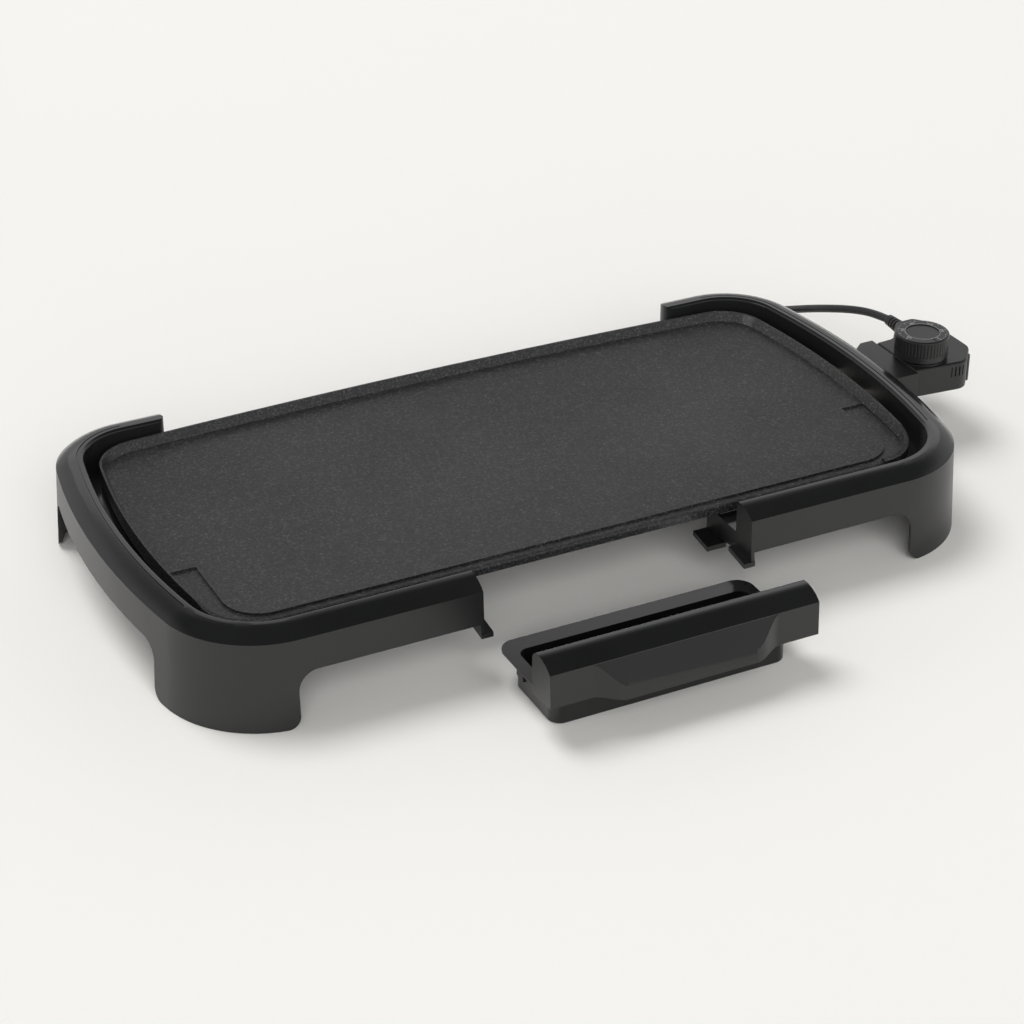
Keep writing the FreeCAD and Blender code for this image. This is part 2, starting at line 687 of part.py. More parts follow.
def shell_core():
    """Everything inside the right shell's outer surface, beside the socket."""
    centre = (half_length - side_radius, side_peak_y)
    inside = Part.makeCone(side_radius + skirt_flare, side_radius, crease_z, V(centre[0], centre[1], 0), UP)
    return inside.common(box(half_length - 110, half_length + 90, shroud_y0 - 20, shroud_y1 + 20, 0, 100))


# --- heat control -----------------------------------------------------------------------------

def control_outline(inset):
    """Plan outline of the control: a square nose end and a rounded grip with a cord corner."""
    x0 = shroud_x1 + control_gap + inset
    end = half_length + 80.5 - inset
    near = shroud_y0 + 0.5 + inset
    corner_x = relief_x - 9
    corner_y = socket_y + 51.0 - inset
    points = [(x0, near + 4), (end - 16.5, near), (end, near + 20.5), (end - 1, corner_y - 12),
              (relief_x + 6, corner_y), (corner_x, corner_y), (corner_x - 18, corner_y - 23), (x0, corner_y - 24)]
    radii = [2.0, 12.0, 12.0, 8.0, 5.0, 7.0, 10.0, 2.0]
    return rounded_polygon(points, [max(r - inset, 0.6) for r in radii])


def rounded_polygon(points, radii):
    """Closed plan outline with a round corner of its own radius at each point."""
    count = len(points)
    starts = []
    ends = []
    arcs = []
    for i in range(count):
        corner = V(points[i][0], points[i][1], 0)
        before = (V(*points[i - 1], 0) - corner).normalize()
        after = (V(*points[(i + 1) % count], 0) - corner).normalize()
        half_angle = before.getAngle(after) / 2
        back = radii[i] / math.tan(half_angle)
        towards = (before + after).normalize()
        mid = corner + towards * (radii[i] / math.sin(half_angle) - radii[i])
        starts.append(corner + before * back)
        ends.append(corner + after * back)
        arcs.append(Part.Arc(starts[i], mid, ends[i]).toShape())
    edges = []
    for i in range(count):
        edges.append(arcs[i])
        edges.append(Part.makeLine(ends[i], starts[(i + 1) % count]))
    return Part.Wire(edges)


def make_control_base():
    """Lower half of the control, with the nose that goes into the shroud."""
    wall = control_wall
    body = slab(control_outline(0), control_z0, control_split_z)
    hollow = slab(control_outline(wall), control_z0 + wall, control_split_z + 1)
    body = body.cut(hollow)
    clear = 0.4
    nose = box(shroud_x1 - nose_length, shroud_x1 + control_gap + wall, shroud_y0 + shroud_wall + clear,
               shroud_y1 - shroud_wall - 3 - clear, shroud_z0 + shroud_wall + clear,
               shroud_z1 - shroud_wall - clear)
    body = fuse(body, nose.cut(slab(control_outline(0), control_split_z, 90)))
    body = body.cut(contact_holes())
    for x, y in control_screw_places():
        body = fuse(body, rod((x, y, control_z0 + 0.1), (0, 0, 1), 3.2, control_split_z - control_z0 - 0.1))
        body = body.cut(rod((x, y, control_z0 - 1), (0, 0, 1), 1.3, 20))
        body = body.cut(rod((x, y, control_z0 - 1), (0, 0, 1), 2.4, 3))
    return body.cut(relief_exit())


def contact_holes():
    """Holes in the control for the two contacts and the probe."""
    holes = [rod((half_length, socket_y, element_z), (1, 0, 0), probe_radius + seat_gap, 30)]
    for y in pin_places():
        holes.append(rod((half_length, y, element_z), (1, 0, 0), receptacle_radius, 30))
    return Part.makeCompound(holes)


def relief_exit():
    """Round hole for the neck of the strain relief."""
    return rod((relief_x, relief_y0 - 3, relief_z), (0, 1, 0), neck_radius + seat_gap, 20)


def control_screw_places():
    return [(half_length + 27, socket_y + 20), (half_length + 72, socket_y - 18),
            (half_length + 72, socket_y + 32)]


def make_control_cover():
    """Upper half of the control, with the raised collar round the knob."""
    wall = control_wall
    body = slab(control_outline(0), control_split_z, control_z1)
    top_edges = [e for e in body.Edges if e.BoundBox.ZMin > control_z1 - 0.01]
    body = body.makeFillet(1.8, top_edges)
    hollow = slab(control_outline(wall), control_split_z - 1, control_z1 - wall)
    body = body.cut(hollow)
    collar = rod((knob_x, knob_y, control_z1 - 0.5), (0, 0, 1), knob_radius - 0.5, collar_height + 0.5)
    keep = slab(control_outline(0.8), control_z1 - 2, control_z1 + 5)
    body = fuse(body, collar.common(keep))
    body = body.cut(rod((knob_x, knob_y, control_split_z), (0, 0, 1), shaft_radius + seat_gap, 30))
    # Grip ribs on the front side, near the end.
    for i in range(4):
        x = knob_x + 13 + 3.4 * i
        body = body.cut(box(x, x + 1.2, knob_y - 40, socket_y - 28.8, control_split_z + 2.5, control_z1 - 3.5))
    for x, y in control_screw_places():
        post = rod((x, y, control_split_z), (0, 0, 1), 3.2, control_z1 - wall - control_split_z + 0.2)
        body = fuse(body, post).cut(rod((x, y, control_split_z - 1), (0, 0, 1), 1.0, 8))
    # Window for the pilot lamp, and the contacts' and strain relief's share of their holes.
    body = body.cut(contact_holes())
    body = body.cut(rod((*lens_place, control_split_z), (0, 0, 1), lens_radius + seat_gap, 20))
    return body.cut(relief_exit())


def make_control_screws():
    screws = []
    for x, y in control_screw_places():
        head = rod((x, y, control_z0 + 0.3), (0, 0, 1), 2.2, 1.6)
        shank = rod((x, y, control_z0 + 1.5), (0, 0, 1), 0.95, 13.5)
        screws.append(fuse(head, shank))
    return Part.makeCompound(screws)


def make_knob():
    """Ribbed dial with a recessed skirt and a raised rim."""
    height = knob_top_z - knob_base_z
    body = rod((knob_x, knob_y, knob_base_z), (0, 0, 1), knob_radius, height)
    top = [e for e in body.Edges if e.BoundBox.ZMin > knob_top_z - 0.01]
    body = body.makeFillet(1.4, top)
    notches = []
    count = 48
    for i in range(count):
        a = 2 * math.pi * i / count
        notches.append(rod((knob_x + (knob_radius + 0.35) * math.cos(a),
                            knob_y + (knob_radius + 0.35) * math.sin(a), knob_base_z + 4.5),
                           (0, 0, 1), 0.8, height - 6.5))
    body = body.cut(Part.makeCompound(notches))
    dish = rod((knob_x, knob_y, knob_top_z - 0.7), (0, 0, 1), knob_radius - 7.5, 2)
    body = body.cut(dish)
    body = body.cut(rod((knob_x, knob_y, knob_base_z - 1), (0, 0, 1), knob_radius - 2.5, 5))
    hub = rod((knob_x, knob_y, knob_base_z), (0, 0, 1), shaft_radius + 3, height - 3)
    body = fuse(body, hub)
    pointer = box(knob_x - 0.7, knob_x + 0.7, knob_y - knob_radius + 1.6, knob_y - knob_radius + 6.8,
                  knob_top_z - 0.4, knob_top_z + 1)
    body = body.cut(pointer)
    return body.cut(rod((knob_x, knob_y, knob_base_z - 1), (0, 0, 1), shaft_radius, height - 3))


def make_shaft():
    foot = block_top_z + 0.2
    return rod((knob_x, knob_y, foot), (0, 0, 1), shaft_radius, knob_top_z - 4 - foot)


def make_thermostat():
    """Contact block that the shaft turns and the probe sits in."""
    body = box(block_x0, block_x1, knob_y - 10, socket_y + 6, control_z0 + control_wall, block_top_z)
    hole = rod((block_x0 - 1, socket_y, element_z), (1, 0, 0), probe_radius, probe_end_x - block_x0 + 1)
    return body.cut(hole)


def make_probe():
    """Temperature probe: a tube with a round tip that goes under the plate."""
    tube = rod((probe_tip_x + 3, socket_y, element_z), (1, 0, 0), probe_radius,
               probe_end_x - probe_tip_x - 3)
    tip = Part.makeSphere(probe_radius, V(probe_tip_x + 3, socket_y, element_z))
    return fuse(tube, tip)


def make_receptacle(y):
    """Sleeve contact that grips a terminal pin."""
    start = shroud_x1 - nose_length + 1
    sleeve = rod((start, y, element_z), (1, 0, 0), receptacle_radius, receptacle_length)
    return sleeve.cut(rod((start - 1, y, element_z), (1, 0, 0), pin_radius + 0.3, receptacle_length - 4))


def make_lens():
    return rod((*lens_place, control_z1 - 3.5), (0, 0, 1), lens_radius, 3.9)


def make_relief():
    """Tapered, ribbed strain relief with a collar held between the halves of the control."""
    x = relief_x
    z = relief_z
    outside = socket_y + 51.4
    taper = Part.makeCone(5.7, 4.4, relief_y1 - outside, V(x, outside, z), V(0, 1, 0))
    neck = rod((x, relief_y0, z), (0, 1, 0), neck_radius, outside - relief_y0 + 0.2)
    flange = rod((x, relief_y0, z), (0, 1, 0), neck_radius + 0.9, 2.4)
    body = fuse(taper, neck, flange)
    for i in range(4):
        at = outside + 3.6 + 3.6 * i
        ring = rod((x, at, z), (0, 1, 0), 7, 1.3).cut(rod((x, at - 1, z), (0, 1, 0), 4.1, 4))
        body = body.cut(ring)
    return body


# --- drip tray --------------------------------------------------------------------------------

def to_table(shape):
    """Move a seated tray piece out and down to where it lies on the table."""
    moved = shape.copy()
    moved.translate(V(0, -tray_out, -tray_drop))
    return moved


def make_tray():
    low = tray_drop
    top = tray_drop + tray_depth
    tub = slab(rounded_rect(-tray_half, tray_half, tray_y0, tray_y1, tray_corner), low, top)
    bottom = [e for e in tub.Edges if e.BoundBox.ZMax < low + 0.01]
    tub = tub.makeFillet(1.5, bottom)
    flange = slab(rounded_rect(-flange_half, flange_half, fascia_back_y - 6, flange_y1, 12.0),
                  top - flange_thick, top)
    body = fuse(tub, flange)
    wall = tray_wall
    cavity = slab(rounded_rect(-tray_half + wall, tray_half - wall, tray_y0 + wall, tray_y1 - wall,
                               tray_corner - wall), low + wall, top + 5)
    bottom = [e for e in cavity.Edges if e.BoundBox.ZMax < low + wall + 0.01]
    body = body.cut(cavity.makeFillet(2.0, bottom))
    # Two small feet under the flange, one on each side, that stand on the rails.
    for sign in (-1, 1):
        x0 = sign * (tray_half - 0.5)
        x1 = sign * (flange_half - 0.4)
        outline = [V(x0, y, z) for y, z in ((foot_y0, foot_z(foot_y0)), (rail_y1, foot_z(rail_y1)),
                                            (rail_y1, top - 0.5), (foot_y0, top - 0.5))]
        body = fuse(body, prism(outline, V(x1 - x0, 0, 0)))
    return to_table(body.cut(box(-120, 120, -10, fascia_back_y - 0.02, top - 0.01, top + 20)))


def fascia_profile(wall):
    """Upright section of the tray front, like the shells' band; wall moves it inwards."""
    def p(n, z):
        return V(0, n, z)

    seat = tray_drop + tray_depth
    low = skirt_z if wall == 0 else seat - 1.0
    front = -skirt_flare * (1 - skirt_z / crease_z)
    crease = crease_z - 0.5 * wall
    crest = crest_z - wall
    back = fascia_back_y - wall
    edges = [Part.makeLine(p(front + wall, low), p(wall, crease)),
             Part.Arc(p(wall, crease), p(6.3 + 0.4 * wall, crest - 2.1), p(15.0, crest)).toShape(),
             Part.makeLine(p(15.0, crest), p(19.0, crest)),
             Part.Arc(p(19.0, crest), p(22.0 - 0.5 * wall, crest - 1.7), p(back, crest - 6)).toShape()]
    if wall:
        edges += [Part.makeLine(p(back, crest - 6), p(back, low)),
                  Part.makeLine(p(back, low), p(front + wall, low))]
    else:
        foot = fascia_back_y - fascia_wall - 0.5
        edges += [Part.makeLine(p(back, crest - 6), p(back, seat)),
                  Part.makeLine(p(back, seat), p(foot, seat)),
                  Part.makeLine(p(foot, seat), p(front, low))]
    return face_from(edges)


def make_tray_front():
    """Hollow front with closed ends, and the finger pull that swells out in the middle."""
    outer = fascia_profile(0)
    outer.translate(V(-fascia_half, 0, 0))
    body = fuse(outer.extrude(V(2 * fascia_half, 0, 0)), make_pull())
    inner = fascia_profile(fascia_wall)
    inner.translate(V(-fascia_half + fascia_wall, 0, 0))
    body = body.cut(inner.extrude(V(2 * (fascia_half - fascia_wall), 0, 0)))
    # Room for the fingers under the pull.
    front = -pull_out - skirt_flare * (1 - skirt_z / crease_z)
    recess = box(-pull_half + 3, pull_half - 3, front + pull_wall + 0.6, -1.5, 30, crease_z - pull_drop - pull_wall)
    return to_table(body.cut(recess))


def pull_section(x, part):
    """Section of the pull: part runs from 0, level with the front, to 1, fully out.

    Its top is a scoop that starts at the crease of the front.
    """
    swell = 0.5 - 0.5 * math.cos(math.pi * part)
    foot = -skirt_flare * (1 - skirt_z / crease_z)
    out = 0.2 - (pull_out + 0.2) * swell
    low = skirt_z - (skirt_z - pull_low_z) * swell
    crease = crease_z - pull_drop * swell
    points = [V(x, foot + 1.5, low), V(x, out + foot, low), V(x, out, crease),
              V(x, 0.35, crease_z - 0.1), V(x, 1.6, crease_z - 4), V(x, foot + 1.5, low + 6)]
    return Part.makePolygon(points + points[:1])


def make_pull():
    """The pull: an even middle stretch and a sweeping curve at each end of it."""
    count = 8
    sections = [pull_section(pull_half + pull_blend * i / count, 1 - i / count) for i in range(count + 1)]
    curve = Part.makeLoft(sections, True, False)
    middle = Part.Face(pull_section(-pull_half, 1)).extrude(V(2 * pull_half, 0, 0))
    return fuse(middle, curve, mirrored(curve))


# --- cord, coil and plug ----------------------------------------------------------------------

def tube_along(route):
    """Straight runs joined by tangent arcs; prints the tightest radius."""
    points = [V(*p) for p in route]
    edges = []
    start = points[0]
    tightest = 1e9
    for i in range(1, len(points) - 1):
        before = points[i - 1] - points[i]
        after = points[i + 1] - points[i]
        shorter = min(before.Length, after.Length)
        half_turn = (math.pi - before.getAngle(after)) / 2
        back = 0.45 * shorter
        radius = back / math.tan(half_turn)
        tightest = min(tightest, radius)
        b = before.normalize()
        a = after.normalize()
        first = points[i] + b * back
        last = points[i] + a * back
        mid = points[i] + (a + b).normalize() * (radius / math.cos(half_turn) - radius)
        edges.append(Part.makeLine(start, first))
        edges.append(Part.Arc(first, mid, last).toShape())
        start = last
    edges.append(Part.makeLine(start, points[-1]))
    spine = Part.Wire(edges)
    direction = points[1] - points[0]
    circle = Part.Wire(Part.makeCircle(cord_radius, points[0], direction))
    tube = spine.makePipeShell([circle], True, True)
    print("route length", round(spine.Length, 1), "tightest radius", round(tightest, 1),
          "volume ratio", round(tube.Volume / (math.pi * cord_radius ** 2 * spine.Length), 4))
    return tube


def make_coil():
    """Outer shape of the put-away turns, two beside and two on each other."""
    r = cord_radius
    inside = coil_mid_radius - 2 * r
    band = slab(Part.Wire(Part.makeCircle(coil_mid_radius + 2 * r, V(0, 0, 0))), 0, 4 * r)
    band = band.cut(rod((0, 0, -1), (0, 0, 1), inside, 6 * r))
    band = band.makeFillet(r - 0.05, [e for e in band.Edges if e.Closed])
    band.translate(V(*coil_centre, 0))
    return band


def make_tie():
    """Band that holds the turns together; its lower run is pressed flat under them."""
    half = 2 * cord_radius
    x = coil_centre[0]
    y = coil_centre[1] - coil_mid_radius
    outer = box(x - tie_width / 2, x + tie_width / 2, y - half - tie_wall - 0.6, y + half + tie_wall + 0.6,
                0, 2 * half + tie_wall)
    inner = box(x - tie_width, x + tie_width, y - half - 0.6, y + half + 0.6, -1, 2 * half)
    return outer.cut(inner)


def plug_frame():
    """Where the plug's body starts, and the level direction that it points in."""
    end = V(*TAIL_ROUTE[-1])
    along = end - V(*TAIL_ROUTE[-2])
    along.z = 0
    return end, along.normalize()


def place_plug(shape):
    """Turn a piece that was made along +X, and put it at the end of the cord."""
    end, along = plug_frame()
    moved = shape.copy()
    moved.rotate(V(0, 0, 0), UP, math.degrees(math.atan2(along.y, along.x)))
    moved.translate(end)
    return moved


def make_plug():
    """Moulded plug with a tapered boot."""
    boot = Part.makeCone(4.6, 6.4, boot_length + 1, V(0, 0, 0), V(1, 0, 0))
    body = box(boot_length, boot_length + plug_length, -plug_half_width, plug_half_width,
               -plug_half_height, plug_half_height)
    body = body.makeFillet(4.0, [e for e in body.Edges if e.Length > plug_length - 1])
    return place_plug(fuse(boot, body))


def make_blades():
    start = boot_length + plug_length
    blades = []
    for side in (-1, 1):
        y = side * blade_spacing / 2
        blades.append(place_plug(box(start, start + blade_length, y - blade_thick / 2, y + blade_thick / 2,
                                     -blade_height / 2, blade_height / 2)))
    return Part.makeCompound(blades)


def make_all():
    right = make_right_shell()
    pieces = {
        "left_shell": mirrored(right),
        "right_shell": cut_socket_window(right),
        "griddle_plate": make_plate(),
        "heating_element": u_tube(element_radius, element_z)[1],
        "element_clamps": make_clamps(),
        "shell_screws": make_screws(),
        "socket_shroud": make_shroud(),
        "control_base": make_control_base(),
        "control_cover": make_control_cover(),
        "control_screws": make_control_screws(),
        "knob": make_knob(),
        "knob_shaft": make_shaft(),
        "thermostat_block": make_thermostat(),
        "sensor_probe": make_probe(),
        "pilot_lens": make_lens(),
        "strain_relief": make_relief(),
        "tray_tub": make_tray(),
        "tray_front": make_tray_front(),
    }
    for name, y in zip(("front", "back"), pin_places()):
        pieces["terminal_" + name] = make_terminal(y)
        pieces["insulator_" + name] = make_insulator(y)
        pieces["receptacle_" + name] = make_receptacle(y)
    cord_pieces = {
        "cord": Part.makeCompound([tube_along(CORD_ROUTE), tube_along(TAIL_ROUTE)]),
        "cord_coil": make_coil(),
        "cord_tie": make_tie(),
        "plug_body": make_plug(),
        "plug_blades": make_blades(),
    }
    save_all({**pieces, **cord_pieces}, cord_pieces)


make_all()
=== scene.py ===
# %% [markdown]
# # An electric griddle, from bare parts to a studio picture
#
# A griddle of this kind is a flat casting between two black plastic ends. The ends are its legs too.
# Under the middle of its front goes a drip tray, and a plug-in heat control sits on the right.
# The shapes arrive already made and already in place, so this lesson is about everything that makes
# plain shapes look real: light, coatings, rounded edges, print on a dial, and a cord that lies as
# cords do.

# %% Load the parts
import math
import bpy
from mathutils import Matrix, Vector


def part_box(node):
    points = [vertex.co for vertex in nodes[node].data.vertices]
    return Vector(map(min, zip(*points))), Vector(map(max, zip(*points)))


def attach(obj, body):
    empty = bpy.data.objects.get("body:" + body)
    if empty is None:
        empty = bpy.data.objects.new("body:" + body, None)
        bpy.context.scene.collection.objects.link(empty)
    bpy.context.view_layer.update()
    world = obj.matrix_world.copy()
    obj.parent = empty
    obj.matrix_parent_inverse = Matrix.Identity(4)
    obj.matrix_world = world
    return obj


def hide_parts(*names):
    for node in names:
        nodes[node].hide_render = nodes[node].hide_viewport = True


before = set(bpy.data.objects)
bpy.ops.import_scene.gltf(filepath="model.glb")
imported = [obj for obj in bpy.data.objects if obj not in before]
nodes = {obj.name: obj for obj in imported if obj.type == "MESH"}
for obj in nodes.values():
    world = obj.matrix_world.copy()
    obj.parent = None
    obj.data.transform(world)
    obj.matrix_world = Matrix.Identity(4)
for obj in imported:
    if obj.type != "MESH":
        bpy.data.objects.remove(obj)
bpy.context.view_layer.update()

# %% [markdown]
# ## Where things are
#
# The parts were drawn in millimetres with X measured from the middle of the griddle and Y from the
# front edge of its ends. Their origin was then moved under the middle of everything. One small
# helper does the same move, so a place can be written with the drawing's own numbers. It finds the
# middle from the two shells and the front edge from the dial, whose place on the drawing is known.

# %% A helper for places on the drawing
shell_low, shell_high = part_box("left_shell")[0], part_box("right_shell")[1]
middle_x = (shell_low.x + shell_high.x) / 2
dial_low, dial_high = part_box("knob_shaft")
dial_centre = (dial_low + dial_high) / 2
DIAL_FROM_FRONT = 0.1615
front_y = dial_centre.y - DIAL_FROM_FRONT


def spot(x, y, z):
    """A point of the drawing, in millimetres, as a point of the scene, in metres."""
    return Vector((middle_x + x / 1000, front_y + y / 1000, z / 1000))


print("middle of the griddle:", round(middle_x, 5), "front edge:", round(front_y, 5))

# %% [markdown]
# ## The camera
#
# The picture is taken from the front left, thirty degrees above the table, with a long lens. A long
# lens from two metres keeps the far end nearly as large as the near end, which is how a product is
# usually shown. The camera is placed first, because where the cord may lie depends on what it sees.

# %% Place the camera
camera_data = bpy.data.cameras.new("studio_camera")
camera_data.lens = 92.87
camera_data.sensor_width = 36.0
camera_data.clip_end = 60.0
camera = bpy.data.objects.new("studio_camera", camera_data)
bpy.context.scene.collection.objects.link(camera)
camera.location = spot(-736.5, -1316.9, 966.9)
aim = spot(11.5, 185.22, 0.0)
camera.rotation_euler = (aim - camera.location).to_track_quat("-Z", "Y").to_euler()
bpy.context.scene.camera = camera
print("camera at", [round(v, 4) for v in camera.location])

# %% [markdown]
# ## The cord
#
# The mains lead leaves the control through a ribbed sleeve, sinks to the table under its own weight
# and runs behind the griddle, where the spare length is put away in a coil. A cord could be drawn as
# a bent cylinder, but bends made of arcs look like wire. A NURBS curve with a round bevel gives one
# smooth line, and its control points are the places where a hand would pin the lead down.
#
# The coil has about three turns in two layers. It starts on the outside, moves in, climbs onto the
# first layer and moves out again. Each move takes a stretch of its own, so that the lead never cuts
# through itself.

# %% The lead's route
LEAD_DIAMETER = 0.0064
ROUTE = [
    (373.0, 241.0, 54.0),
    (371.8, 260.0, 52.0),
    (366.0, 284.0, 46.5),
    (359.0, 309.0, 38.0),
    (354.5, 334.0, 28.0),
    (353.0, 358.0, 17.0),
    (350.0, 379.0, 8.0),
    (338.0, 398.0, 3.6),
    (318.0, 407.0, 3.2),
]
TAIL = [
    (265.5, 393.0, 7.2),
    (247.0, 381.5, 5.2),
    (229.5, 372.2, 7.4),
    (212.0, 367.5, 8.5),
]
print("free route points:", len(ROUTE) + len(TAIL))

# %% The coil's sizes
COIL_X, COIL_Y = 300.0, 371.5
OUTER_TURN, INNER_TURN = 35.7, 29.3
LOW_TURN, HIGH_TURN = 3.2, 9.6
GO_IN = (338, 428)          # angles over which the lead moves to the inner turn
GO_UP = (638, 728)          # to the upper turns
GO_OUT = (968, 1043)        # back to the outer turn
LAST_INNER_ANGLE = 700      # past this the next change of radius is outwards
FIRST_ANGLE, LAST_ANGLE = 92.0, 1190.0
TURN_STEP = 18.0
print("coil turns:", round((LAST_ANGLE - FIRST_ANGLE) / 360, 2))


# %% Wind the coil
def along(angle, start, end, first, last):
    """A value that goes evenly from first to last while the angle goes from start to end."""
    part = min(max((angle - start) / (end - start), 0.0), 1.0)
    return first + (last - first) * part


def coil_point(angle):
    """Where the lead is after turning to this angle, in degrees."""
    radius = along(angle, *GO_IN, OUTER_TURN, INNER_TURN)
    if angle > LAST_INNER_ANGLE:
        radius = along(angle, *GO_OUT, INNER_TURN, OUTER_TURN)
    height = along(angle, *GO_UP, LOW_TURN, HIGH_TURN)
    a = math.radians(angle)
    # The curve runs inside its control points, so they stand a little further out.
    push_out = 1 / math.cos(math.radians(TURN_STEP / 2))
    return (COIL_X + radius * push_out * math.cos(a), COIL_Y + radius * push_out * math.sin(a), height)


steps = round((LAST_ANGLE - FIRST_ANGLE) / TURN_STEP)
turns = [coil_point(FIRST_ANGLE + (LAST_ANGLE - FIRST_ANGLE) * i / steps) for i in range(steps + 1)]
print("coil points:", len(turns))

# %% [markdown]
# A curve's thickness is its bevel depth times the radius of each point. The lead's radius is put in
# the points here and the depth is one, because the curve's box also grows by the points' radius. With
# the usual radius of one, that box would be a metre too large on every side.

# %% Draw the lead
lead_curve = bpy.data.curves.new("lead", "CURVE")
lead_curve.dimensions = "3D"
lead_curve.bevel_depth = 1.0
lead_curve.bevel_resolution = 5
lead_curve.resolution_u = 8
lead_curve.use_fill_caps = True
spline = lead_curve.splines.new("NURBS")
lead_points = [spot(*p) for p in ROUTE + turns + TAIL]
spline.points.add(len(lead_points) - 1)
for point, place in zip(spline.points, lead_points):
    point.co = (*place, 1.0)
    point.radius = LEAD_DIAMETER / 2
spline.order_u = 3
spline.use_endpoint_u = True
lead = bpy.data.objects.new("lead", lead_curve)
bpy.context.scene.collection.objects.link(lead)
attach(lead, "control")
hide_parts("cord", "cord_coil")
print("lead points:", len(lead_points))

# %% [markdown]
# ## Light and floor
#
# Black gloss plastic has almost no colour of its own: what the eye sees is the room in it. So the
# room comes before the materials. Here the room is pale near the horizon and dark overhead. Flat tops
# mirror the pale part and turn grey, while the rounded slope between top and skirt mirrors the dark
# part and turns black, which is what draws the shape.

# %% The room
scene = bpy.context.scene
scene.view_settings.view_transform = "Standard"
scene.view_settings.look = "None"
world = bpy.data.worlds.new("studio_room")
world.use_nodes = True
room = world.node_tree
direction = room.nodes.new("ShaderNodeSeparateXYZ")
room.links.new(room.nodes.new("ShaderNodeTexCoord").outputs["Generated"], direction.inputs["Vector"])
brightness = room.nodes.new("ShaderNodeMapRange")
brightness.interpolation_type = "SMOOTHSTEP"
PALE_BELOW, DARK_ABOVE = 0.42, 0.78     # heights of a direction, from 0 at the horizon to 1 overhead
PALE, DARK = 0.62, 0.07
for key, value in (("From Min", PALE_BELOW), ("From Max", DARK_ABOVE), ("To Min", PALE), ("To Max", DARK)):
    brightness.inputs[key].default_value = value
room.links.new(direction.outputs["Z"], brightness.inputs["Value"])
room.links.new(brightness.outputs["Result"], room.nodes["Background"].inputs["Strength"])
room.nodes["Background"].inputs["Color"].default_value = (1.0, 1.0, 1.0, 1.0)
scene.world = world
print("room nodes:", len(room.nodes))

# %% [markdown]
# The floor needs far more light than such a room gives. Two wide suns bring it. A sun is equally
# strong everywhere, so the floor stays even out to its edges. Both are hidden from reflections, or
# they would stand in the gloss as bright discs. The first comes from behind on the left and casts the
# soft shadow, and the second, low in front, lights the floor under the griddle. Two panels then add
# the highlights that edges need.


# %% Suns and panels
def aim_light(name, data, place, target):
    """Put a light at a place and turn it to its target."""
    light = bpy.data.objects.new(name, data)
    light.location = place
    light.rotation_euler = (Vector(target) - Vector(place)).to_track_quat("-Z", "Y").to_euler()
    scene.collection.objects.link(light)
    return light


def sun(name, place, strength, spread):
    """A wide sun, left out of reflections; spread is its angle in degrees."""
    data = bpy.data.lights.new(name, "SUN")
    data.energy = strength
    data.angle = math.radians(spread)
    aim_light(name, data, place, (0.0, 0.0, 0.0)).visible_glossy = False


def panel(name, place, size, power):
    """A light panel that faces the griddle."""
    data = bpy.data.lights.new(name, "AREA")
    data.shape = "RECTANGLE"
    data.size, data.size_y = size
    data.energy = power
    aim_light(name, data, place, (0.0, 0.0, 0.05))


sun("back_sun", (-1.0, 1.9, 4.2), 1.60, 32.0)
sun("front_sun", (-0.7, -2.6, 1.5), 1.90, 50.0)
panel("left_panel", (-2.6, 0.6, 0.9), (1.6, 1.2), 5.0)
panel("back_panel", (1.1, 2.6, 1.5), (3.4, 0.8), 3.5)

# %% [markdown]
# ## A workshop for materials
#
# Each finish below is a small node tree around one Principled shader. Three things come back in
# nearly all of them: a noise that reads the object's own coordinates, a ramp that turns it into a
# range of roughness or tone, and a bump. Object coordinates are in metres here, so a noise scale of
# 1000 gives grains about a millimetre wide, whichever part it is on.


# %% Node helpers
class Finish:
    """A material and short ways to add nodes to it."""

    def __init__(self, name):
        self.material = bpy.data.materials.new(name)
        self.material.use_nodes = True
        self.tree = self.material.node_tree
        self.shader = self.tree.nodes["Principled BSDF"]
        self.place = self.tree.nodes.new("ShaderNodeTexCoord").outputs["Object"]

    def node(self, kind, **values):
        made = self.tree.nodes.new(kind)
        for key, value in values.items():
            setattr(made, key, value)
        return made

    def link(self, output, target):
        self.tree.links.new(output, target)

    def noise(self, scale, detail=2.0, roughness=0.5):
        made = self.node("ShaderNodeTexNoise")
        made.inputs["Scale"].default_value = scale
        made.inputs["Detail"].default_value = detail
        made.inputs["Roughness"].default_value = roughness
        self.link(self.place, made.inputs["Vector"])
        return made.outputs["Fac"]

    def ramp(self, value, *stops):
        """Stops are (position, tone or colour)."""
        made = self.node("ShaderNodeValToRGB")
        elements = made.color_ramp.elements
        while len(elements) < len(stops):
            elements.new(0.5)
        for element, (position, tone) in zip(elements, stops):
            element.position = position
            element.color = (*tone, 1.0) if isinstance(tone, tuple) else (tone, tone, tone, 1.0)
        self.link(value, made.inputs["Fac"])
        return made.outputs["Color"]

    def between(self, value, low, high, to_low=0.0, to_high=1.0):
        made = self.node("ShaderNodeMapRange", interpolation_type="SMOOTHSTEP")
        for key, number in (("From Min", low), ("From Max", high), ("To Min", to_low), ("To Max", to_high)):
            made.inputs[key].default_value = number
        self.link(value, made.inputs["Value"])
        return made.outputs["Result"]

    def add(self, first, second):
        made = self.node("ShaderNodeMath", operation="ADD")
        self.link(first, made.inputs[0])
        self.link(second, made.inputs[1])
        return made.outputs["Value"]

    def bump(self, value, distance, strength=1.0):
        made = self.node("ShaderNodeBump")
        made.inputs["Distance"].default_value = distance
        made.inputs["Strength"].default_value = strength
        self.link(value, made.inputs["Height"])
        self.link(made.outputs["Normal"], self.shader.inputs["Normal"])
        return made

    def set(self, **values):
        for key, value in values.items():
            self.shader.inputs[key.replace("_", " ")].default_value = value


print("helpers ready")

